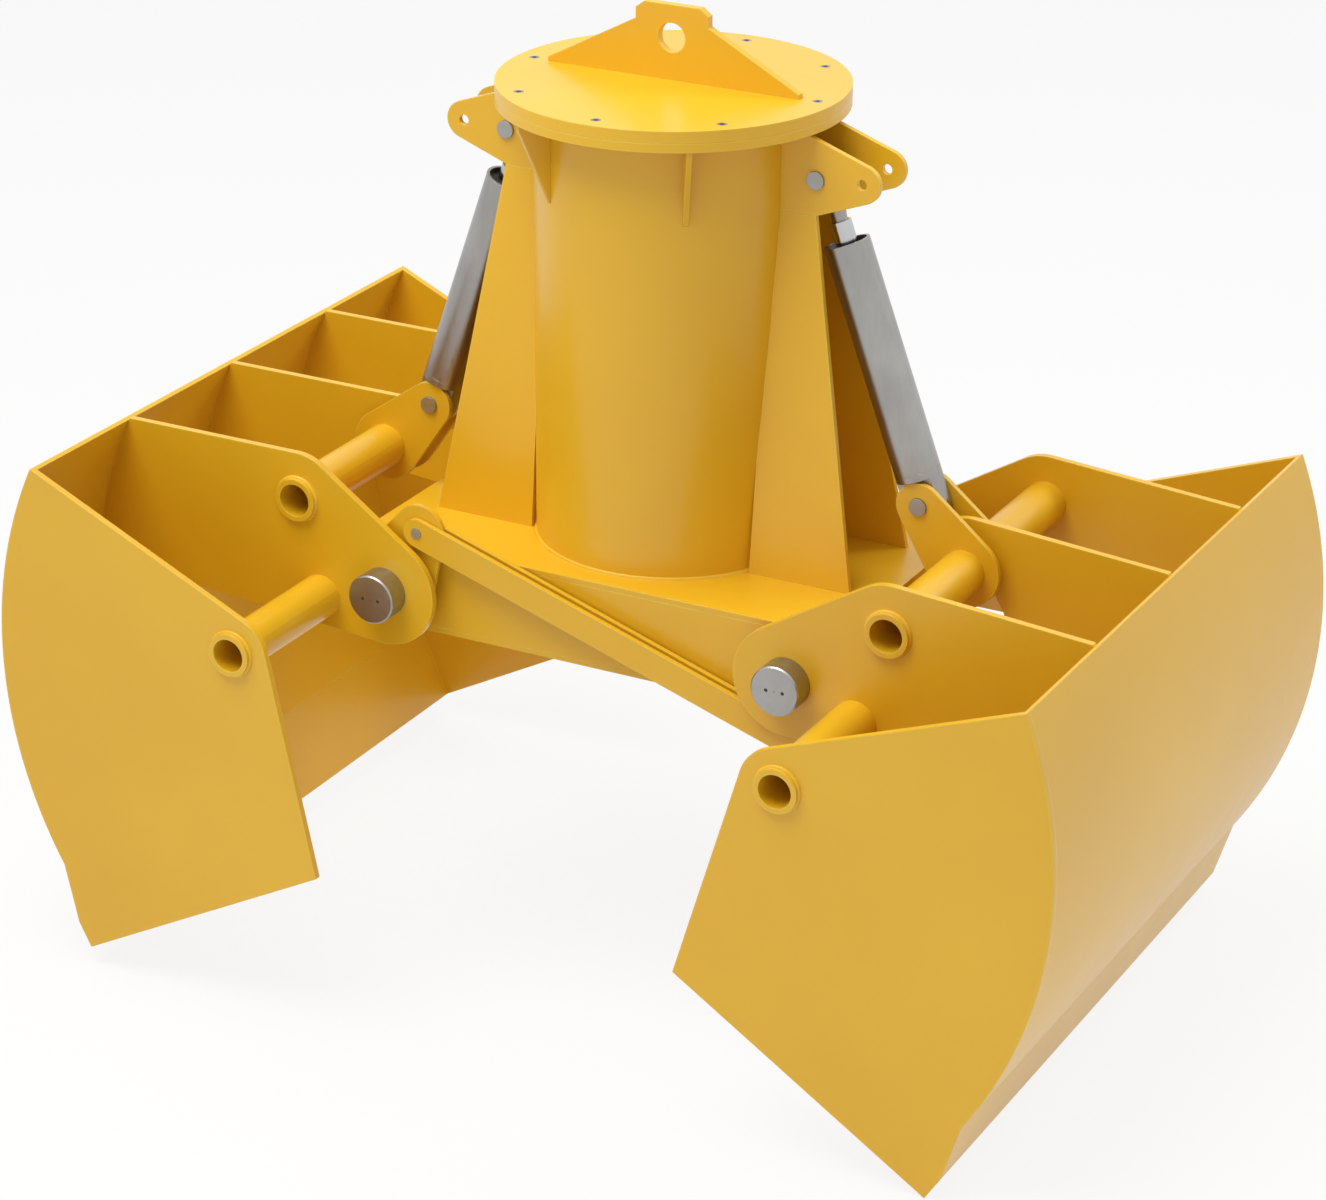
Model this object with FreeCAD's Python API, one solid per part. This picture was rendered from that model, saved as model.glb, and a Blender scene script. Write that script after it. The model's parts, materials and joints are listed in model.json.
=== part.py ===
import FreeCAD, Part
import os
from math import atan2, cos, degrees, hypot, radians, sin, sqrt

# Hydraulic clamshell bucket: two shells hung on a base box, closed by two
# cylinders that push down from a central column, and kept in step by a bar.
# Millimetres and degrees.  X runs from shell to shell, Y along the cutting
# lips, Z up.  The origin is the centre of the lifting eye.  A "drop" is
# measured down from the top of the lid.

# ---- fits
RUN = 0.05              # radial clearance of every pin and rod that turns or slides
SIDE_GAP = 1.0          # gap beside a plate that swings past another
WINDOW_GAP = 1.0        # room round a pin that wanders in a window or slot

# ---- lifting lug and lid
EYE_R = 31.0
EYE_HEIGHT = 89.0       # eye centre above the lid
LUG_THICK = 18.0
LUG_HALF = 291.0
LUG_NIB = 9.0           # height of the lug's blunt ends
LUG_HEAD_HALF = 84.0
LUG_SHOULDER = 120.0
LUG_CHAMFER_START = 143.0
LUG_TOP = 158.0
LUG_TOP_HALF = 64.0
LID_R = 368.0
LID_THICK = 25.0
FLANGE_THICK = 20.0
BOLT_COUNT = 8
BOLT_CIRCLE_R = 329.0
BOLT_R = 6.0
BOLT_HEAD_R = 11.0

# ---- column
COLUMN_R = 289.0
COLUMN_WALL = 12.0
COLUMN_DROP = 995.0     # foot of the column, on the base
GUSSET_ANGLES = (57.0, 123.0, -57.0, -123.0)
GUSSET_THICK = 12.0
GUSSET_R = 360.0
GUSSET_NOSE = 14.0
GUSSET_DROP = 222.0

# ---- brackets and legs that carry the cylinders
BRACKET_HALF = 66.0     # outer faces of a pair of bracket plates
PLATE_THICK = 12.0
BRACKET_TOP_X = 322.0
BRACKET_SEAM_X = 362.0
BRACKET_SEAM_DROP = 219.0
HITCH_X = 463.0         # free hole at the tip of a bracket
HITCH_DROP = 138.0
HITCH_R = 11.0
HITCH_LAND = 29.7       # plate around the free hole
LEG_FOOT_HALF = 145.0   # outer faces of a pair of legs at the base
LEG_FOOT_IN = 262.0
LEG_FOOT_OUT = 495.0
UPPER_PIN_X = 361.0
UPPER_PIN_DROP = 143.0

# ---- base box
BASE_HALF_X = 573.0
BASE_HALF_Y = 344.0
BASE_HEIGHT = 197.0
BASE_PLATE = 12.0
HINGE_X = 479.2
HINGE_DROP = 1093.9
HINGE_TUBE_R = 58.0
HINGE_TUBE_PROUD = 17.0

# ---- hinge pins
HINGE_PIN_R = 45.0
HINGE_PIN_REACH = 110.0   # length that runs in the base's tube
CAP_R = 54.5
CAP_LONG = 54.0
CAP_CHAMFER = 3.0

# ---- shells, in the closed pose and from the hinge: X outwards, Z up
SHELL_HALF = 750.0      # outer faces of the side plates
SIDE_THICK = 15.0
PIVOT_HALF = 402.5      # outer faces of the pivot plates
RIB_THICK = 15.0
MOUTH_GAP = 1.2         # from the closed mouth to the middle plane
MOUTH_TOP = -216.5
LIP_Z = -893.0
LIP_WIDE = 62.0
LIP_HEEL = (-283.0, -857.0)
LIP_THICK = 28.0
BACK_TOP = (549.5, -445.8)
BACK_R = 985.0
BACK_THICK = 10.0
LOWER_TUBE = (36.8, -160.5)
UPPER_TUBE = (250.7, -106.8)
TUBE_R = 48.0
TUBE_BORE_R = 36.0
TUBE_PROUD = 12.0
LOWER_TUBE_LAND = 85.0    # radius of the side plate's corner around the lower tube
UPPER_TUBE_LAND = 105.0   # radius of the pivot plate's corner around the upper tube
HUB_LAND = 122.0
RIB_FOOT_ANGLE = -57.6    # direction of the ribs' lower edge
RIB_NOSE_CLEAR = 165.0    # ribs between the pivot plates keep this far from the hinge
EAR_HALF = 42.0
EAR_THICK = 12.0
EAR_TIP_R = 51.0
EAR_ROOT_R = 80.0
LOWER_PIN = (298.7, 48.2)

# ---- cylinders, from the lower pin upwards and from the upper pin downwards
LOWER_PIN_R = 19.0
UPPER_PIN_R = 15.0
UPPER_PIN_HEAD_R = 19.0
PIN_PROUD = 6.0         # ends of both pins beyond their plates
BARREL_R = 49.0
BARREL_BORE_R = 43.0
BARREL_FOOT = 52.5
BARREL_LONG = 513.0
BARREL_CAP = 15.0
GLAND_RECESS = 10.0
GLAND_LONG = 50.0
ROD_R = 23.0
ROD_START = 103.0       # from the upper pin
ROD_LONG = 474.0
SPIGOT_R = 13.0
SPIGOT_LONG = 40.0
PISTON_LONG = 50.0
SHANK_R = 16.0
EYE_HALF = 27.0
EYE_WALL = 8.0

# ---- timing bar at the front, with an arm on each shell
BAR_HALF = 32.0
BAR_THICK = 11.0
BAR_PIVOT_GAP = 3.5     # from the pivot plate to the bar
ARM_THICK = 10.0
ARM_TIP_R = 60.0
ARM_HUB_R = 100.0
BAR_PIN_R = 12.0
BAR_PIN_PROUD = 2.5
ARM_RADIUS = 158.7      # from the hinge to the bar's pin
LEFT_ARM_ANGLE = 62.5   # directions of the arms with the shells open
RIGHT_ARM_ANGLE = -73.9
BAR_LEAN = -0.3
BAR_TURN = 1.4          # what the bar turns while the shells close

# ---- power pack inside the column
MOTOR_R = 150.0
MOTOR_LONG = 380.0
MOTOR_FINS = 16
FIN_DEEP = 12.0
FIN_THICK = 6.0
MOTOR_PLATE_DROP = 520.0
MOTOR_PLATE_THICK = 15.0
PUMP_R = 65.0
PUMP_LONG = 210.0
MANIFOLD = (220.0, 160.0, 120.0)

# ---- the two sides.  "open" is how far a shell stands open; "lean", "turn" and
# "stretch" are how a cylinder lies when open and what it does while closing.
RIGHT = dict(name="right", mirrored=False, open=57.6, lean=0.96, turn=5.8, stretch=272.4)
LEFT = dict(name="left", mirrored=True, open=62.0, lean=0.98, turn=7.5, stretch=283.0)
STEPS = 8               # steps of the travel that shape the eyes and the arm's slot

LID_TOP = -EYE_HEIGHT
FLANGE_UNDER = LID_TOP - LID_THICK - FLANGE_THICK
BASE_TOP = LID_TOP - COLUMN_DROP
BASE_UNDER = BASE_TOP - BASE_HEIGHT
HINGE_Z = LID_TOP - HINGE_DROP
UPPER_PIN = (UPPER_PIN_X, LID_TOP - UPPER_PIN_DROP)
MOUTH_X = MOUTH_GAP - HINGE_X
PIVOT_IN = PIVOT_HALF - RIB_THICK
BAR_OUT = PIVOT_IN - BAR_PIVOT_GAP
ARM_OUT = BAR_OUT - BAR_THICK - SIDE_GAP
ARM_IN = ARM_OUT - ARM_THICK
BAR_IN = ARM_IN - SIDE_GAP - BAR_THICK
TUBE_END = BASE_HALF_Y + HINGE_TUBE_PROUD


# ---- plane geometry in X and Z; angles turn from X towards Z
def polar(centre, radius, angle):
    a = radians(angle)
    return centre[0] + radius * cos(a), centre[1] + radius * sin(a)


def turned(point, centre, angle):
    a = radians(angle)
    x, z = point[0] - centre[0], point[1] - centre[1]
    return centre[0] + x * cos(a) - z * sin(a), centre[1] + x * sin(a) + z * cos(a)


def angle_to(start, end):
    return degrees(atan2(end[1] - start[1], end[0] - start[0]))


def distance(a, b):
    return hypot(b[0] - a[0], b[1] - a[1])


def arc_centre(start, end, radius):
    """Centre of an arc that leaves start to the left and bulges to the right."""
    half = distance(start, end) / 2
    middle = ((start[0] + end[0]) / 2, (start[1] + end[1]) / 2)
    return polar(middle, sqrt(radius ** 2 - half ** 2), angle_to(start, end) + 90)


def side_between(a, b):
    """The straight side that touches rounds a and b (x, z, radius) on their right."""
    lean = (a[2] - b[2]) / distance(a, b)
    heading = radians(angle_to(a, b))
    nx = lean * cos(heading) + sqrt(1 - lean ** 2) * sin(heading)
    nz = lean * sin(heading) - sqrt(1 - lean ** 2) * cos(heading)
    return [(c[0] + c[2] * nx, c[1] + c[2] * nz) for c in (a, b)]


def outline(corners, bulge=0.0):
    """Face round corners (x, z) or rounds (x, z, radius), anticlockwise.  With a
    bulge, the last side is an arc of that radius."""
    rounds = [tuple(c) + (0.0,) * (3 - len(c)) for c in corners]
    count = len(rounds)
    sides = [side_between(rounds[i], rounds[(i + 1) % count]) for i in range(count)]
    edges = []
    for i, (start, end) in enumerate(sides):
        if bulge and i == count - 1:
            edges.append(arc(start, end, arc_centre(start, end, bulge), bulge))
        else:
            edges.append(Part.LineSegment(at(start), at(end)).toShape())
        corner = rounds[(i + 1) % count]
        leave = sides[(i + 1) % count][0]
        if corner[2] and distance(end, leave) > 1e-6:
            edges.append(arc(end, leave, corner[:2], corner[2]))
    return Part.Face(Part.Wire(edges))


def at(point, y=0.0):
    return FreeCAD.Vector(point[0], y, point[1])


def arc(start, end, centre, radius):
    sweep = (angle_to(centre, end) - angle_to(centre, start)) % 360
    middle = polar(centre, radius, angle_to(centre, start) + sweep / 2)
    return Part.Arc(at(start), at(middle), at(end)).toShape()


def hull(points):
    """Corners of the smallest convex outline round the points, anticlockwise."""
    corners = []
    for run in (sorted(points), sorted(points, reverse=True)):
        chain = []
        for p in run:
            while len(chain) > 1 and cross(chain[-2], chain[-1], p) <= 0:
                chain.pop()
            chain.append(p)
        corners += chain[:-1]
    return corners


def cross(a, b, c):
    return (b[0] - a[0]) * (c[1] - a[1]) - (b[1] - a[1]) * (c[0] - a[0])


# ---- solids
def plate(face, y_low, y_high):
    solid = face.extrude(FreeCAD.Vector(0, y_high - y_low, 0))
    solid.translate(FreeCAD.Vector(0, y_low, 0))
    return solid


def round_y(centre, radius, y_low, y_high):
    return Part.makeCylinder(radius, y_high - y_low, at(centre, y_low), FreeCAD.Vector(0, 1, 0))


def round_z(radius, z_low, z_high, x=0.0, y=0.0):
    return Part.makeCylinder(radius, z_high - z_low, FreeCAD.Vector(x, y, z_low))


def block(x_low, x_high, y_low, y_high, z_low, z_high):
    corner = FreeCAD.Vector(x_low, y_low, z_low)
    return Part.makeBox(x_high - x_low, y_high - y_low, z_high - z_low, corner)


def flip(shape, axis):
    return shape.mirror(FreeCAD.Vector(0, 0, 0), FreeCAD.Vector(*axis))


def front_and_rear(shape):
    return [shape, flip(shape, (0, 1, 0))]


def left_and_right(shape):
    return [shape, flip(shape, (1, 0, 0))]


def save(node, solids):
    shape = solids[0] if len(solids) == 1 else Part.makeCompound(solids)
    shape.exportStep("parts/" + node + ".step")


# ---- frame
def bolt_places():
    return [polar((0, 0), BOLT_CIRCLE_R, i * 360 / BOLT_COUNT) for i in range(BOLT_COUNT)]


def lid_bolt(x, y):
    head = BOLT_HEAD_R - BOLT_R
    cone = Part.makeCone(BOLT_R, BOLT_HEAD_R, head, FreeCAD.Vector(x, y, LID_TOP - head))
    return cone.fuse(round_z(BOLT_R, FLANGE_UNDER, LID_TOP - head, x, y)).removeSplitter()


def make_lid():
    bolts = [lid_bolt(*place) for place in bolt_places()]
    lid = round_z(LID_R, LID_TOP - LID_THICK, LID_TOP).cut(bolts)
    ring = round_z(LID_R, FLANGE_UNDER, LID_TOP - LID_THICK).cut(bolts + [column_core()])
    save("lid_plate", [lid])
    save("column_flange", [ring])
    save("lid_bolts", bolts)


def make_lifting_lug():
    right = [(LUG_HALF, 0), (LUG_HALF, LUG_NIB), (LUG_HEAD_HALF, LUG_SHOULDER),
             (LUG_HEAD_HALF, LUG_CHAMFER_START), (LUG_TOP_HALF, LUG_TOP)]
    left = [(-x, z) for x, z in reversed(right)]
    profile = outline([(x, LID_TOP + z) for x, z in right + left])
    lug = plate(profile, -LUG_THICK / 2, LUG_THICK / 2)
    save("lifting_lug", [lug.cut(round_y((0, 0), EYE_R, -LUG_THICK, LUG_THICK))])


def column_core():
    return round_z(COLUMN_R, BASE_TOP, LID_TOP - LID_THICK)


def make_column():
    bore = round_z(COLUMN_R - COLUMN_WALL, BASE_TOP, LID_TOP - LID_THICK)
    save("column_tube", [column_core().cut(bore)])
    tip = LID_TOP - GUSSET_DROP
    inside = COLUMN_R - COLUMN_WALL
    profile = outline([(inside, FLANGE_UNDER), (inside, tip), (COLUMN_R, tip),
                       (GUSSET_R, FLANGE_UNDER - GUSSET_NOSE), (GUSSET_R, FLANGE_UNDER)])
    gusset = plate(profile, -GUSSET_THICK / 2, GUSSET_THICK / 2).cut(column_core())
    gussets = []
    for angle in GUSSET_ANGLES:
        copy = gusset.copy()
        copy.rotate(FreeCAD.Vector(0, 0, 0), FreeCAD.Vector(0, 0, 1), angle)
        gussets.append(copy)
    save("flange_gussets", gussets)


def bracket_plate():
    """Rear plate of the right bracket, from the flange down to the leg."""
    inside = COLUMN_R - 2 * COLUMN_WALL
    seam = LID_TOP - BRACKET_SEAM_DROP
    hitch = (HITCH_X, LID_TOP - HITCH_DROP)
    profile = outline([(inside, FLANGE_UNDER), (inside, seam), (BRACKET_SEAM_X, seam),
                       hitch + (HITCH_R + HITCH_LAND,), (BRACKET_TOP_X, FLANGE_UNDER)])
    solid = plate(profile, BRACKET_HALF - PLATE_THICK, BRACKET_HALF)
    holes = [round_y(hitch, HITCH_R, 0, SHELL_HALF), round_y(UPPER_PIN, UPPER_PIN_R, 0, SHELL_HALF)]
    return solid.cut(holes + [column_core()])


def leg_plate():
    """Rear plate of the right leg: it spreads from the bracket to the base."""
    inside = COLUMN_R - 2 * COLUMN_WALL
    seam = LID_TOP - BRACKET_SEAM_DROP
    slope = (LEG_FOOT_HALF - BRACKET_HALF) / (seam - BASE_TOP)
    thick = PLATE_THICK * sqrt(1 + slope ** 2)
    y_top, y_foot = BRACKET_HALF - thick, LEG_FOOT_HALF - thick
    corners = [(inside, y_top, seam), (LEG_FOOT_IN, y_foot, BASE_TOP),
               (LEG_FOOT_OUT, y_foot, BASE_TOP), (BRACKET_SEAM_X, y_top, seam)]
    wire = Part.makePolygon([FreeCAD.Vector(*c) for c in corners + corners[:1]])
    return Part.Face(wire).extrude(FreeCAD.Vector(0, thick, 0)).cut(column_core())


def upper_pin():
    """Pin through the right bracket, with a head on each side."""
    end = BRACKET_HALF + PIN_PROUD
    heads = front_and_rear(round_y(UPPER_PIN, UPPER_PIN_HEAD_R, BRACKET_HALF, end))
    return round_y(UPPER_PIN, UPPER_PIN_R, -end, end).fuse(heads).removeSplitter()


def make_brackets():
    for node, solid in (("bracket_plates", bracket_plate()), ("leg_plates", leg_plate())):
        right = front_and_rear(solid)
        save("right_" + node, right)
        save("left_" + node, [flip(s, (1, 0, 0)) for s in right])
    save("upper_pins", left_and_right(upper_pin()))


def make_base():
    x, y = BASE_HALF_X, BASE_HALF_Y
    low, high = BASE_UNDER + BASE_PLATE, BASE_TOP - BASE_PLATE
    save("base_top_plate", [block(-x, x, -y, y, high, BASE_TOP)])
    save("base_bottom_plate", [block(-x, x, -y, y, BASE_UNDER, low)])
    hinges = [(HINGE_X, HINGE_Z), (-HINGE_X, HINGE_Z)]
    tubes = [round_y(h, HINGE_TUBE_R, -TUBE_END, TUBE_END) for h in hinges]
    bores = [round_y(h, HINGE_PIN_R + RUN, -TUBE_END, TUBE_END) for h in hinges]
    side = block(-x + BASE_PLATE, x - BASE_PLATE, y - BASE_PLATE, y, low, high).cut(tubes)
    save("base_side_plates", front_and_rear(side))
    save("base_end_plates", left_and_right(block(x - BASE_PLATE, x, -y, y, low, high)))
    save("hinge_tubes", [tube.cut(bore) for tube, bore in zip(tubes, bores)])


def make_power_pack():
    floor = LID_TOP - MOTOR_PLATE_DROP
    under = floor - MOTOR_PLATE_THICK
    disc = round_z(COLUMN_R - COLUMN_WALL, under, floor)
    save("motor_plate", [disc.cut(round_z(PUMP_R, under, floor))])
    body = round_z(MOTOR_R - FIN_DEEP, floor, floor + MOTOR_LONG)
    fins = []
    for i in range(MOTOR_FINS):
        fin = block(0, MOTOR_R, -FIN_THICK / 2, FIN_THICK / 2, floor, floor + MOTOR_LONG)
        fin.rotate(FreeCAD.Vector(0, 0, 0), FreeCAD.Vector(0, 0, 1), i * 360 / MOTOR_FINS)
        fins.append(fin)
    save("motor", [body.fuse(fins).removeSplitter()])
    wide, deep, high = MANIFOLD
    pump = round_z(PUMP_R, floor - PUMP_LONG, floor)
    manifold = block(-wide / 2, wide / 2, -deep / 2, deep / 2,
                     floor - PUMP_LONG - high, floor - PUMP_LONG)
    save("pump", [pump.fuse(manifold)])


# ---- shells, drawn closed on the right and then swung open
def from_hinge(point):
    return (HINGE_X + point[0], HINGE_Z + point[1]) + tuple(point[2:])


def shell_outline(corners, bulge=0.0):
    return outline([from_hinge(c) for c in corners], bulge)


def back_cylinder(inset):
    centre = from_hinge(arc_centre(LIP_HEEL, BACK_TOP, BACK_R))
    return round_y(centre, BACK_R - inset, -SHELL_HALF, SHELL_HALF)


def tube_core(centre):
    return round_y(from_hinge(centre), TUBE_R, -2 * SHELL_HALF, 2 * SHELL_HALF)


def lip_corners():
    return [(MOUTH_X, LIP_Z), (MOUTH_X + LIP_WIDE, LIP_Z), LIP_HEEL]


def side_plate():
    corners = [BACK_TOP, LOWER_TUBE + (LOWER_TUBE_LAND,), (MOUTH_X, MOUTH_TOP)] + lip_corners()
    solid = plate(shell_outline(corners, BACK_R), SHELL_HALF - SIDE_THICK, SHELL_HALF)
    return solid.cut(tube_core(LOWER_TUBE))


def rib_outline():
    """Hub, lower edge, back and upper tube; the back is trimmed to the back plate."""
    foot = polar(polar((0, 0), HUB_LAND, RIB_FOOT_ANGLE - 90), BACK_R, RIB_FOOT_ANGLE)
    top_heading = angle_to(*side_between(BACK_TOP + (0.0,), UPPER_TUBE + (UPPER_TUBE_LAND,)))
    back = polar(BACK_TOP, BACK_R - distance(BACK_TOP, UPPER_TUBE), top_heading + 180)
    return shell_outline([(0, 0, HUB_LAND), foot, back, UPPER_TUBE + (UPPER_TUBE_LAND,)])


def pivot_plate():
    """Rear pivot plate with the boss that meets the base's hinge tube."""
    solid = plate(rib_outline(), PIVOT_IN, PIVOT_HALF).common(back_cylinder(BACK_THICK))
    return solid.cut([tube_core(UPPER_TUBE), hinge_pin_core()])


def hinge_pin_core():
    return round_y(from_hinge((0, 0)), HINGE_PIN_R, -PIVOT_HALF, PIVOT_HALF)


def hub_boss(y_low):
    boss = round_y(from_hinge((0, 0)), HINGE_TUBE_R, y_low, PIVOT_IN)
    return boss.cut(hinge_pin_core())


def middle_rib():
    solid = plate(rib_outline(), -RIB_THICK / 2, RIB_THICK / 2).common(back_cylinder(BACK_THICK))
    nose = round_y(from_hinge((0, 0)), RIB_NOSE_CLEAR, -RIB_THICK, RIB_THICK)
    front = distance((0, 0), UPPER_TUBE) + TUBE_R
    heading = angle_to((0, 0), UPPER_TUBE)
    clear = shell_outline([polar((0, 0), front, heading + 90), polar((0, 0), front, heading - 90),
                           polar(polar((0, 0), front, heading - 90), front - TUBE_R, heading),
                           polar(polar((0, 0), front, heading + 90), front, heading)])
    return solid.cut([nose, plate(clear, -RIB_THICK, RIB_THICK), tube_core(UPPER_TUBE)])


def back_plate():
    width = SHELL_HALF - SIDE_THICK
    corners = [BACK_TOP, arc_centre(LIP_HEEL, BACK_TOP, BACK_R), LIP_HEEL]
    sector = plate(shell_outline(corners, BACK_R), -width, width)
    return sector.cut(back_cylinder(BACK_THICK))


def cutting_lip():
    width = SHELL_HALF - SIDE_THICK
    centre = arc_centre(LIP_HEEL, BACK_TOP, BACK_R)
    inner = polar(LIP_HEEL, BACK_THICK, angle_to(LIP_HEEL, centre))
    corners = lip_corners() + [inner, (MOUTH_X, LIP_Z + LIP_THICK)]
    return plate(shell_outline(corners), -width, width)


def upper_tube():
    half = PIVOT_HALF + TUBE_PROUD
    bore = round_y(from_hinge(UPPER_TUBE), TUBE_BORE_R, -half, half)
    return round_y(from_hinge(UPPER_TUBE), TUBE_R, -half, half).cut(bore)


def lower_tube():
    end = SHELL_HALF + TUBE_PROUD
    bore = round_y(from_hinge(LOWER_TUBE), TUBE_BORE_R, PIVOT_HALF, end)
    return round_y(from_hinge(LOWER_TUBE), TUBE_R, PIVOT_HALF, end).cut(bore)


def ear():
    profile = shell_outline([UPPER_TUBE + (EAR_ROOT_R,), LOWER_PIN + (EAR_TIP_R,)])
    solid = plate(profile, EAR_HALF - EAR_THICK, EAR_HALF)
    return solid.cut([tube_core(UPPER_TUBE), lower_pin()])


def lower_pin():
    end = EAR_HALF + PIN_PROUD
    return round_y(from_hinge(LOWER_PIN), LOWER_PIN_R, -end, end)


def hinge_pin():
    pin = round_y(from_hinge((0, 0)), HINGE_PIN_R, TUBE_END - HINGE_PIN_REACH, PIVOT_HALF)
    cap = round_y(from_hinge((0, 0)), CAP_R, PIVOT_HALF, PIVOT_HALF + CAP_LONG)
    rims = [edge for edge in cap.Edges if edge.CenterOfMass.y > PIVOT_HALF + CAP_LONG - CAP_CHAMFER]
    return pin.fuse(cap.makeChamfer(CAP_CHAMFER, rims[:1])).removeSplitter()


def swing(shape, side):
    """Opens a closed right shell's piece to its rest pose and moves it to its side."""
    opened = shape.copy()
    opened.rotate(at((HINGE_X, HINGE_Z)), FreeCAD.Vector(0, 1, 0), -side["open"])
    return flip(opened, (1, 0, 0)) if side["mirrored"] else opened


def make_shell(side):
    front_pivot = flip(pivot_plate().fuse(hub_boss(ARM_OUT)).removeSplitter(), (0, 1, 0))
    rear_pivot = pivot_plate().fuse(hub_boss(TUBE_END + SIDE_GAP)).removeSplitter()
    pieces = {
        "front_side_plate": [flip(side_plate(), (0, 1, 0))],
        "rear_side_plate": [side_plate()],
        "front_pivot_plate": [front_pivot],
        "rear_pivot_plate": [rear_pivot],
        "middle_rib": [middle_rib()],
        "back_plate": [back_plate()],
        "cutting_lip": [cutting_lip()],
        "upper_tube": [upper_tube()],
        "lower_tubes": front_and_rear(lower_tube()),
        "cylinder_ears": front_and_rear(ear()),
        "hinge_pins": front_and_rear(hinge_pin()),
        "lower_pin": [lower_pin()],
    }
    for node, solids in pieces.items():
        save(side["name"] + "_" + node, [swing(s, side) for s in solids])


# ---- cylinders, drawn upright on their lower pin
def lower_pin_at(side, travel):
    """Lower pin of a right-hand shell that has closed by a share of its swing."""
    return turned(from_hinge(LOWER_PIN), (HINGE_X, HINGE_Z), side["open"] * (1 - travel))


def cylinder_heading(side, travel):
    """Direction from the lower pin up the rod."""
    rest = angle_to(lower_pin_at(side, 0), UPPER_PIN) + side["lean"]
    return rest + side["turn"] * travel


def pin_length(side):
    return distance(lower_pin_at(side, 0), UPPER_PIN)


def pin_in_eye(side, travel):
    """Where the fixed upper pin lies in the upright rod at a share of the travel."""
    heading = cylinder_heading(side, travel)
    upright = turned(UPPER_PIN, lower_pin_at(side, travel), 90 - heading)
    offset = [upright[i] - lower_pin_at(side, travel)[i] for i in (0, 1)]
    return offset[0], offset[1] - side["stretch"] * travel


def travel_steps():
    return [step / STEPS for step in range(STEPS + 1)]


def rod_eye(side):
    """Eye whose window gives the upper pin room for its whole path in the rod."""
    path = hull([pin_in_eye(side, travel) for travel in travel_steps()])
    window = outline([point + (UPPER_PIN_R + WINDOW_GAP,) for point in path])
    land = outline([point + (UPPER_PIN_R + WINDOW_GAP + EYE_WALL,) for point in path])
    top = pin_length(side) - ROD_START
    eye = plate(land, -EYE_HALF, EYE_HALF)
    shank = round_z(SHANK_R, top, pin_length(side)).fuse(round_z(SPIGOT_R, top - SPIGOT_LONG, top))
    gap = plate(window, -EYE_HALF, EYE_HALF)
    return eye.fuse(shank).cut(gap).removeSplitter()


def upright(face_or_solid, side):
    """Leans a piece drawn upright on its lower pin to where it lies at rest."""
    x, z = lower_pin_at(side, 0)
    placed = face_or_solid.copy()
    placed.rotate(FreeCAD.Vector(0, 0, 0), FreeCAD.Vector(0, 1, 0), 90 - cylinder_heading(side, 0))
    placed.translate(at((x, z)))
    return flip(placed, (1, 0, 0)) if side["mirrored"] else placed


def make_cylinder(side):
    cap_top = BARREL_FOOT + BARREL_CAP
    rim = BARREL_FOOT + BARREL_LONG
    gland_top = rim - GLAND_RECESS
    rod_top = pin_length(side) - ROD_START
    rod_end = rod_top - ROD_LONG
    lug_half = EAR_HALF - EAR_THICK - SIDE_GAP
    tongue = plate(outline([(0, 0, BARREL_R), (BARREL_R, cap_top), (-BARREL_R, cap_top)]),
                   -lug_half, lug_half).common(round_z(BARREL_R, -BARREL_R, cap_top))
    lug = tongue.fuse(round_z(BARREL_R, BARREL_FOOT, cap_top)).removeSplitter()
    bore = round_z(BARREL_BORE_R, cap_top, rim)
    rod = round_z(ROD_R, rod_end, rod_top)
    screw = round_z(SPIGOT_R, rod_top - SPIGOT_LONG, rod_top)
    nose = round_z(SPIGOT_R, rod_end - PISTON_LONG, rod_end)
    piston = round_z(BARREL_BORE_R - RUN, rod_end - PISTON_LONG, rod_end)
    gland = round_z(BARREL_BORE_R, gland_top - GLAND_LONG, gland_top)
    pieces = {
        "barrel_lug": lug.cut(round_y((0, 0), LOWER_PIN_R + RUN, -BARREL_R, BARREL_R)),
        "barrel_tube": round_z(BARREL_R, cap_top, rim).cut(bore),
        "gland": gland.cut(round_z(ROD_R + RUN, cap_top, rim)),
        "rod": rod.cut(screw).fuse(nose).removeSplitter(),
        "piston": piston.cut(nose),
        "rod_eye": rod_eye(side),
    }
    for node, solid in pieces.items():
        save(side["name"] + "_" + node, [upright(solid, side)])


# ---- timing bar
RIGHT_HINGE = (HINGE_X, HINGE_Z)
LEFT_HINGE = (-HINGE_X, HINGE_Z)


def bar_pins(travel):
    """Both ends of the bar; its left pin follows the left shell's arm."""
    left = polar(LEFT_HINGE, ARM_RADIUS, LEFT_ARM_ANGLE + LEFT["open"] * travel)
    start = polar(LEFT_HINGE, ARM_RADIUS, LEFT_ARM_ANGLE)
    end = polar(RIGHT_HINGE, ARM_RADIUS, RIGHT_ARM_ANGLE)
    heading = angle_to(start, end) + BAR_LEAN + BAR_TURN * travel
    return left, polar(left, distance(start, end), heading)


def arm(hinge, tip, hole):
    profile = outline([hinge + (ARM_HUB_R,), tip + (ARM_TIP_R,)])
    core = round_y(hinge, HINGE_PIN_R, -ARM_OUT, -ARM_IN)
    return plate(profile, -ARM_OUT, -ARM_IN).cut([core, plate(hole, -ARM_OUT, -ARM_IN)])


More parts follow.
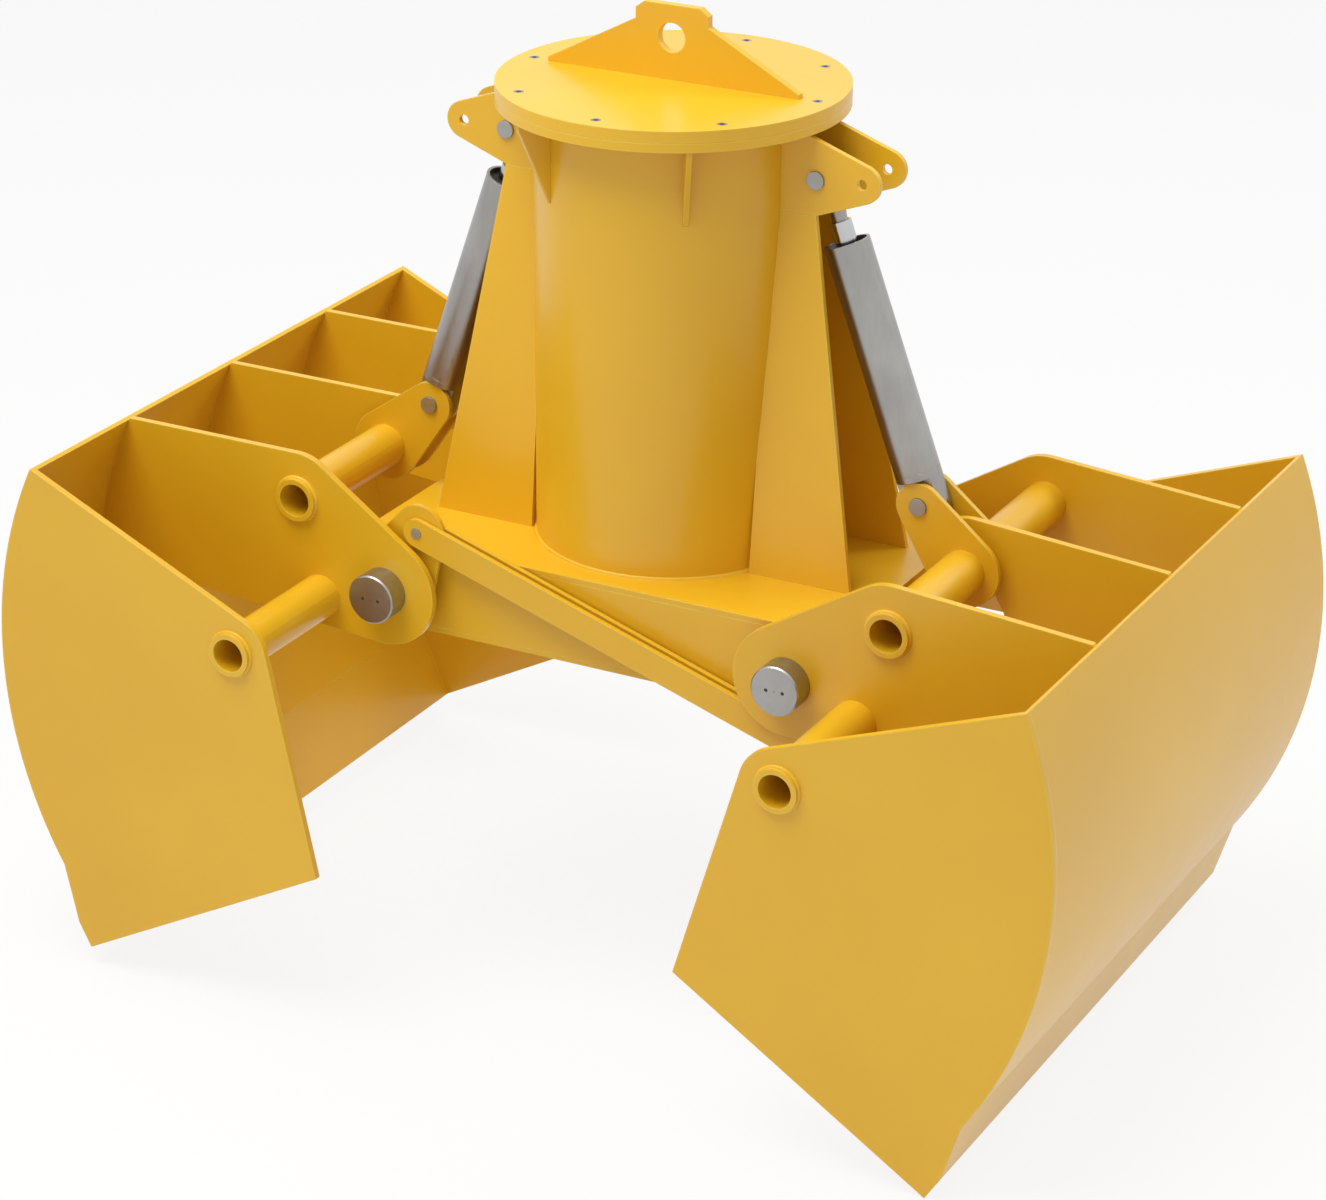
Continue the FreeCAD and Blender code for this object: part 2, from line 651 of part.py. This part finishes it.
def make_timing_bar():
    left, right = bar_pins(0)
    round_hole = Part.Face(Part.Wire(Part.makeCircle(BAR_PIN_R + RUN, at(left),
                                                     FreeCAD.Vector(0, 1, 0))))
    path = [turned(bar_pins(t)[1], RIGHT_HINGE, RIGHT["open"] * t) for t in travel_steps()]
    slot = outline([point + (BAR_PIN_R + WINDOW_GAP,) for point in hull(path)])
    save("left_sync_arm", [arm(LEFT_HINGE, left, round_hole)])
    save("right_sync_arm", [arm(RIGHT_HINGE, polar(RIGHT_HINGE, ARM_RADIUS, RIGHT_ARM_ANGLE), slot)])
    pins = [round_y(p, BAR_PIN_R, -BAR_OUT - BAR_PIN_PROUD, -BAR_IN + BAR_PIN_PROUD)
            for p in (left, right)]
    profile = outline([left + (BAR_HALF,), right + (BAR_HALF,)])
    save("sync_bar_front", [plate(profile, -BAR_OUT, -BAR_OUT + BAR_THICK).cut(pins)])
    save("sync_bar_rear", [plate(profile, -BAR_IN - BAR_THICK, -BAR_IN).cut(pins)])
    save("sync_bar_pins", pins)


os.makedirs("parts", exist_ok=True)
make_lid()
make_lifting_lug()
make_column()
make_brackets()
make_base()
make_power_pack()
make_timing_bar()
for chosen in (RIGHT, LEFT):
    make_shell(chosen)
    make_cylinder(chosen)
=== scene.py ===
import bpy
import bmesh
import json
from math import atan2, cos, pi, radians, sin
from mathutils import Matrix, Vector


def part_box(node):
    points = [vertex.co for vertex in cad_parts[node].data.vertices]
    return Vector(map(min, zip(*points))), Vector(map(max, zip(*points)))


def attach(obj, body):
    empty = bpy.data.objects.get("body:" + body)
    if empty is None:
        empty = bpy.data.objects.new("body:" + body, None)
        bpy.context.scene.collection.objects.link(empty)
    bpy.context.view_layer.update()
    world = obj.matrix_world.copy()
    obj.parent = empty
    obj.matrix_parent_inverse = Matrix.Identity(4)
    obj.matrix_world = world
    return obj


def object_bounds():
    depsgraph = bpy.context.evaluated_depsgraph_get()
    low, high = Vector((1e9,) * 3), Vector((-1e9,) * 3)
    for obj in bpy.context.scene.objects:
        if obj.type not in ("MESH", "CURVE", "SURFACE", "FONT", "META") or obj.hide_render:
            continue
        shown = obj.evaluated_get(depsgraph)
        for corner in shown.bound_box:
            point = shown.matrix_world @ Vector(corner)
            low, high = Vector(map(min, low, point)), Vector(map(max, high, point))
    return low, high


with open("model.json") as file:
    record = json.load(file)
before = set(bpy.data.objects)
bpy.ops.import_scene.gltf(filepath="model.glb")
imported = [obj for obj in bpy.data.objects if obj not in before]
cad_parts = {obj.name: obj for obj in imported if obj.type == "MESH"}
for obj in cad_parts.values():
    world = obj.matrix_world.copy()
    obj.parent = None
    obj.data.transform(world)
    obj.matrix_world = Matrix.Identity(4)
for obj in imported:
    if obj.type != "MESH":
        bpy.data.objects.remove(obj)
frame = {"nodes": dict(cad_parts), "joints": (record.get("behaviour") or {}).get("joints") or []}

# Dresses the clamshell bucket: paint, steel and rubber finishes on the frame's
# own pieces, with weld beads, and painted shade for screw sockets and cap recesses.  Metres.

cad_low, cad_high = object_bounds()
SIDES = ("right", "left")


# ---- shader arithmetic
class Value:
    """A number that varies over a surface; arithmetic on it adds Math nodes."""

    def __init__(self, finish, socket):
        self.finish = finish
        self.socket = socket

    def maths(self, operation, first, second=0.0):
        return self.finish.node("ShaderNodeMath", {"operation": operation}, {0: first, 1: second})

    def __add__(self, other):
        return self.maths("ADD", self, other)

    def __radd__(self, other):
        return self.maths("ADD", other, self)

    def __sub__(self, other):
        return self.maths("SUBTRACT", self, other)

    def __rsub__(self, other):
        return self.maths("SUBTRACT", other, self)

    def __mul__(self, other):
        return self.maths("MULTIPLY", self, other)

    def __rmul__(self, other):
        return self.maths("MULTIPLY", other, self)

    def between(self, low, high):
        """0 at low and below, 1 at high and above, smooth in between."""
        settings = {"interpolation_type": "SMOOTHSTEP"}
        sockets = {"Value": self, "From Min": low, "From Max": high}
        return self.finish.node("ShaderNodeMapRange", settings, sockets)


class Finish:
    """One material; node() makes every node and links or sets its sockets."""

    def __init__(self, name, world=None):
        self.material = world or bpy.data.materials.new(name)
        self.material.use_nodes = True
        self.tree = self.material.node_tree
        self.tree.nodes.clear()

    def background_rays(self):
        """1 for what the camera, a reflection or glass sees directly."""
        rays = [self.node("ShaderNodeLightPath", {}, {}, kind)
                for kind in ("Is Camera Ray", "Is Glossy Ray", "Is Transmission Ray")]
        return (rays[0] + rays[1] + rays[2]).between(0.0, 1.0)

    def node(self, kind, settings, sockets, output=0):
        made = self.tree.nodes.new(kind)
        for key, setting in settings.items():
            setattr(made, key, setting)
        for key, value in sockets.items():
            if isinstance(value, Value):
                self.tree.links.new(value.socket, made.inputs[key])
            else:
                made.inputs[key].default_value = value
        return Value(self, made.outputs[output]) if made.outputs else None

    def place(self):
        return self.node("ShaderNodeTexCoord", {}, {}, "Object")

    def noise(self, scale, detail=2.0, roughness=0.5, place=None):
        sockets = {"Vector": place or self.place(), "Scale": scale, "Detail": detail,
                   "Roughness": roughness}
        return self.node("ShaderNodeTexNoise", {}, sockets, "Fac")

    def stretched(self, turn, scale):
        """Object space turned about Y and scaled, for marks that run one way."""
        return self.node("ShaderNodeMapping", {},
                         {"Vector": self.place(), "Rotation": (0, turn, 0), "Scale": scale})

    def blend(self, share, first, second):
        sockets = {"Factor": share, 6: first, 7: second}
        return self.node("ShaderNodeMix", {"data_type": "RGBA"}, sockets, 2)

    def rounded(self, radius):
        """Normal with the piece's edges broken by a small radius."""
        return self.node("ShaderNodeBevel", {"samples": 4}, {"Radius": radius}, "Normal")

    def edge(self, radius):
        """0 on a flat, towards 1 along the piece's edges."""
        flat = self.node("ShaderNodeNewGeometry", {}, {}, "True Normal")
        turn = self.node("ShaderNodeVectorMath", {"operation": "DOT_PRODUCT"},
                         {0: self.rounded(radius), 1: flat}, "Value")
        return 1.0 - turn

    def bump(self, height, distance, strength=1.0, normal=None):
        sockets = {"Height": height, "Distance": distance, "Strength": strength}
        if normal:
            sockets["Normal"] = normal
        return self.node("ShaderNodeBump", {}, sockets)

    def surface(self, **sockets):
        """Ends the tree in a Principled surface; keyword names use _ for spaces."""
        named = {key.replace("_", " "): value for key, value in sockets.items()}
        shader = self.node("ShaderNodeBsdfPrincipled", {}, named)
        self.node("ShaderNodeOutputMaterial", {}, {"Surface": shader})
        return self.material


# ---- finishes
PAINT_BRIGHT = (0.80, 0.465, 0.012, 1)
PAINT_DEEP = (0.74, 0.41, 0.009, 1)
# Lighter yellow for a painted highlight along the pieces' edges.
PAINT_EDGE_HIGHLIGHT = (0.86, 0.60, 0.05, 1)
# Near-black painted shade for the hollows of screw sockets and cap recesses; the second colour is
# also the gland's grease film.
SOCKET_SHADE = (0.02, 0.02, 0.02, 1)
GREASE_AND_SOCKET_SHADE = (0.05, 0.04, 0.03, 1)
STEEL_LIGHT = (0.46, 0.45, 0.43, 1)
STEEL_DARK = (0.30, 0.29, 0.28, 1)


def paint_finish():
    paint = Finish("yellow_paint")
    cloud = paint.noise(1.3, 3.0).between(0.3, 0.7)
    mottle = paint.noise(14.0, 4.0, 0.6)
    colour = paint.blend(0.75 * cloud + 0.25 * mottle, PAINT_DEEP, PAINT_BRIGHT)
    # Painted highlight: edges turned lighter yellow, broken up by noise.
    edge_highlight = paint.edge(0.006).between(0.02, 0.16) * paint.noise(9.0, 4.0).between(0.2, 0.6)
    colour = paint.blend(edge_highlight, colour, PAINT_EDGE_HIGHLIGHT)
    peel = paint.noise(260.0, 2.0)
    wave = paint.noise(5.0, 2.0)
    normal = paint.bump(peel * 0.25 + wave, 0.0012, 0.35, paint.rounded(0.0025))
    return paint.surface(Base_Color=colour, Roughness=0.34 + 0.12 * mottle, Normal=normal,
                         Coat_Weight=0.25, Coat_Roughness=0.18, Specular_IOR_Level=0.5)


def machined_finish(name, light, dark, roughness, turn, stretch):
    """Bare steel with marks drawn out along one direction."""
    steel = Finish(name)
    marks = steel.noise(1.0, 5.0, 0.65, steel.stretched(turn, stretch))
    stain = steel.noise(6.0, 3.0).between(0.35, 0.75)
    colour = steel.blend(0.6 * marks + 0.4 * stain, dark, light)
    rough = roughness + 0.16 * marks
    normal = steel.bump(marks, 0.0004, 0.25, steel.rounded(0.0012))
    return steel.surface(Base_Color=colour, Metallic=1.0, Roughness=rough, Normal=normal)


def gland_finish():
    rubber = Finish("black_gland")
    grain = rubber.noise(300.0, 2.0)
    film = rubber.noise(18.0, 3.0).between(0.4, 0.8)
    colour = rubber.blend(film, (0.008, 0.008, 0.008, 1), GREASE_AND_SOCKET_SHADE)
    return rubber.surface(Base_Color=colour, Roughness=0.45 + 0.2 * grain,
                          Normal=rubber.bump(grain, 0.0003, 0.4))


def machine_finish():
    grey = Finish("machine_grey")
    cloud = grey.noise(7.0, 3.0)
    colour = grey.blend(cloud, (0.10, 0.12, 0.13, 1), (0.16, 0.18, 0.19, 1))
    return grey.surface(Base_Color=colour, Roughness=0.5 + 0.15 * cloud,
                        Normal=grey.bump(grey.noise(200.0), 0.0003, 0.4))


# Painted shade: near-black for the insides of screw sockets and cap recesses.
def socket_shade_finish():
    socket = Finish("painted_socket_shade")
    grain = socket.noise(400.0, 2.0)
    colour = socket.blend(grain, SOCKET_SHADE, GREASE_AND_SOCKET_SHADE)
    return socket.surface(Base_Color=colour, Roughness=0.5 + 0.3 * grain,
                          Normal=socket.bump(grain, 0.0002, 0.3))


def node_finish(node):
    if node.endswith("_barrel_tube"):
        return barrel_steel[node.split("_")[0]]
    if node.endswith(("_rod", "_piston")):
        return chrome
    if node.endswith("_gland"):
        return gland
    if node in ("motor", "motor_plate", "pump"):
        return machine
    if node.endswith(("hinge_pins", "upper_pins", "lower_pin", "bar_pins", "bolts", "rod_eye")):
        return pin_steel
    if node.endswith("_barrel_lug"):
        return barrel_steel[node.split("_")[0]]
    return paint


def cylinder_turn(side):
    """Lean of a cylinder from the vertical, about Y."""
    axis = next(j for j in frame["joints"] if j["name"] == side + "_rod_slide")["axis"]
    return atan2(axis[0], axis[2])


paint = paint_finish()
pin_steel = machined_finish("pin_steel", STEEL_LIGHT, STEEL_DARK, 0.30, 0.0, (60, 12, 60))
barrel_steel = {side: machined_finish(side + "_barrel_steel", STEEL_LIGHT, STEEL_DARK, 0.24,
                                      -cylinder_turn(side), (70, 70, 3)) for side in SIDES}
chrome = machined_finish("chrome_rod", (0.62, 0.62, 0.63, 1), (0.50, 0.50, 0.51, 1), 0.10,
                         0.0, (20, 20, 20))
gland = gland_finish()
machine = machine_finish()
painted_socket_shade = socket_shade_finish()
for node, piece in frame["nodes"].items():
    piece.data.materials.clear()
    piece.data.materials.append(node_finish(node))


# ---- meshes
def add_piece(name, mesh_maker, finish, body):
    mesh = bpy.data.meshes.new(name)
    solid = bmesh.new()
    mesh_maker(solid)
    bmesh.ops.recalc_face_normals(solid, faces=solid.faces)
    solid.to_mesh(mesh)
    solid.free()
    mesh.materials.append(finish)
    piece = bpy.data.objects.new(name, mesh)
    bpy.context.scene.collection.objects.link(piece)
    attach(piece, body)
    return piece


def turned(solid, profile, base, axis, sides):
    """Turns a profile of (radius, height) about an axis from base; radius 0 closes it."""
    axis = Vector(axis).normalized()
    across = axis.orthogonal().normalized()
    side = axis.cross(across)
    rings = []
    for radius, height in profile:
        centre = Vector(base) + axis * height
        if radius == 0:
            rings.append([solid.verts.new(centre)])
            continue
        angles = [2 * pi * i / sides for i in range(sides)]
        rings.append([solid.verts.new(centre + radius * (across * cos(a) + side * sin(a)))
                      for a in angles])
    for low, high in zip(rings, rings[1:]):
        for i in range(sides):
            j = (i + 1) % sides
            corners = [low[i % len(low)], low[j % len(low)], high[j % len(high)],
                       high[i % len(high)]]
            kept = [c for k, c in enumerate(corners) if c not in corners[:k]]
            if len(kept) > 2:
                solid.faces.new(kept)


def middle(node):
    low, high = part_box(node)
    return (low + high) / 2


def half_width(node):
    low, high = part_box(node)
    return (high.x - low.x) / 2


BEAD = 0.005            # radius of a weld bead
BEAD_STEPS = 8
RING_SIDES = 96


def weld_ring(name, centre, axis, radius, body):
    """A bead of weld round a tube or column, half sunk into the seam."""
    angles = [2 * pi * i / BEAD_STEPS for i in range(BEAD_STEPS)]
    profile = [(radius + BEAD * cos(a), BEAD * sin(a)) for a in angles]

    def bead(solid):
        turned(solid, profile + profile[:1], centre, axis, RING_SIDES)
        bmesh.ops.remove_doubles(solid, verts=solid.verts, dist=1e-6)

    return add_piece(name, bead, paint, body)


# A thin dark disc of painted shade, set where a hollow would be shaded.
def shallow_disc(name, centre, axis, radius, sides, height, body):
    profile = [(0, 0), (radius, 0), (radius * 0.9, height), (0, height)]
    return add_piece(name, lambda solid: turned(solid, profile, centre, axis, sides),
                     painted_socket_shade, body)


def add_column_welds():
    column = middle("column_tube")
    foot = Vector((column.x, column.y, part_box("base_top_plate")[1].z))
    neck = Vector((column.x, column.y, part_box("column_flange")[0].z))
    weld_ring("column_foot_weld", foot, (0, 0, 1), half_width("column_tube"), "frame")
    weld_ring("column_neck_weld", neck, (0, 0, 1), half_width("column_tube"), "frame")


def add_tube_welds(side):
    for tube, plates in (("upper_tube", "pivot_plate"), ("lower_tubes", "side_plate")):
        centre = middle(f"{side}_{tube}")
        radius = half_width(f"{side}_{tube}")
        for place in ("front", "rear"):
            low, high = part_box(f"{side}_{place}_{plates}")
            face = low.y if place == "front" else high.y
            weld_ring(f"{side}_{place}_{tube}_weld", Vector((centre.x, face, centre.z)),
                      (0, 1, 0), radius, f"{side}_shell")


CAP_RECESS_OUT = 0.0185
CAP_RECESS_R = 0.004
SOCKET_R = 0.006
SOCKET_HIGH = 0.0004
SCREW_HEAD_R = 0.011
SCREWS = 8


# The two recesses and the centre dot on each pin cap are thin dark discs of painted shade.
def add_cap_recesses(side):
    low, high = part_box(f"{side}_hinge_pins")
    centre = (low + high) / 2
    for place, y, out in (("front", low.y, -1), ("rear", high.y, 1)):
        for name, dx, radius in (("left_recess_shade", -CAP_RECESS_OUT, CAP_RECESS_R),
                                 ("centre_dot_shade", 0.0, CAP_RECESS_R / 3),
                                 ("right_recess", CAP_RECESS_OUT, CAP_RECESS_R)):
            shallow_disc(f"{side}_{place}_cap_{name}", Vector((centre.x + dx, y, centre.z)),
                         (0, out, 0), radius, 24, SOCKET_HIGH, f"{side}_shell")


# Each bolt head's socket is a thin dark disc of painted shade.
def add_screw_sockets():
    low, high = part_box("lid_bolts")
    circle = (high.x - low.x) / 2 - SCREW_HEAD_R
    for i in range(SCREWS):
        angle = 2 * pi * i / SCREWS
        centre = Vector((circle * cos(angle), circle * sin(angle), high.z))
        shallow_disc(f"lid_screw_socket_shade_{i + 1}", centre, (0, 0, 1), SOCKET_R, 6, SOCKET_HIGH,
                     "frame")


add_column_welds()
add_screw_sockets()
for side in SIDES:
    add_tube_welds(side)
    add_cap_recesses(side)


# ---- floor, light and camera
def floor_finish():
    floor = Finish("studio_floor")
    tone = floor.noise(0.6, 2.0)
    colour = floor.blend(tone, (0.80, 0.80, 0.80, 1), (0.84, 0.84, 0.84, 1))
    shader = floor.node("ShaderNodeBsdfPrincipled", {}, {"Base Color": colour, "Roughness": 0.7})
    white = floor.node("ShaderNodeEmission", {}, {"Color": (1, 1, 1, 1), "Strength": 1.0})
    share = 0.85 * floor.background_rays()
    mixed = floor.node("ShaderNodeMixShader", {}, {0: share, 1: shader, 2: white})
    floor.node("ShaderNodeOutputMaterial", {}, {"Surface": mixed})
    return floor.material


FLOOR_HALF = 30.0
FLOOR_DROP = 0.001      # below the cutting corners


def make_floor():
    half = FLOOR_HALF
    mesh = bpy.data.meshes.new("studio_floor")
    z = cad_low.z - FLOOR_DROP
    corners = [(-half, -half, z), (half, -half, z), (half, half, z), (-half, half, z)]
    mesh.from_pydata(corners, [], [(0, 1, 2, 3)])
    mesh.materials.append(floor_finish())
    floor = bpy.data.objects.new("studio_floor", mesh)
    bpy.context.scene.collection.objects.link(floor)


def make_world():
    world = bpy.data.worlds.new("studio")
    sky = Finish("studio", world)
    strength = 0.5 + 0.5 * sky.background_rays()
    light = sky.node("ShaderNodeBackground", {}, {"Color": (1, 1, 1, 1), "Strength": strength})
    sky.node("ShaderNodeOutputWorld", {}, {"Surface": light})
    bpy.context.scene.world = world


def make_lamp(name, place, target, size, watts):
    data = bpy.data.lights.new(name, "AREA")
    data.shape = "DISK"
    data.size = size
    data.energy = watts
    lamp = bpy.data.objects.new(name, data)
    lamp.location = place
    lamp.rotation_mode = "QUATERNION"
    lamp.rotation_quaternion = (Vector(target) - Vector(place)).to_track_quat("-Z", "Y")
    bpy.context.scene.collection.objects.link(lamp)


CAMERA_PLACE = Vector((3.7482, -7.0747, 2.2591))
CAMERA_YAW = radians(28.10)
CAMERA_PITCH = radians(-23.70)
CAMERA_ROLL = radians(0.26)


def make_camera():
    data = bpy.data.cameras.new("camera")
    data.sensor_width = 36.0
    data.lens = 109.49
    data.shift_x = 0.0033
    data.shift_y = -0.0006
    data.clip_end = 100.0
    look = Vector((-sin(CAMERA_YAW) * cos(CAMERA_PITCH), cos(CAMERA_YAW) * cos(CAMERA_PITCH),
                   sin(CAMERA_PITCH)))
    level = Vector((cos(CAMERA_YAW), sin(CAMERA_YAW), 0))
    upright = level.cross(look)
    right = level * cos(CAMERA_ROLL) + upright * sin(CAMERA_ROLL)
    up = upright * cos(CAMERA_ROLL) - level * sin(CAMERA_ROLL)
    turn = Matrix((right, up, -look)).transposed().to_4x4()
    camera = bpy.data.objects.new("camera", data)
    camera.matrix_world = Matrix.Translation(CAMERA_PLACE) @ turn
    bpy.context.scene.collection.objects.link(camera)
    bpy.context.scene.camera = camera


make_floor()
make_world()
make_lamp("key_lamp", (-1.5, -2.5, 6.0), (0, 0, -1.0), 6.0, 520)
make_lamp("rim_lamp", (4.0, 3.5, 3.5), (0, 0, -1.0), 3.0, 120)
make_camera()
bpy.context.scene.view_settings.view_transform = "Standard"
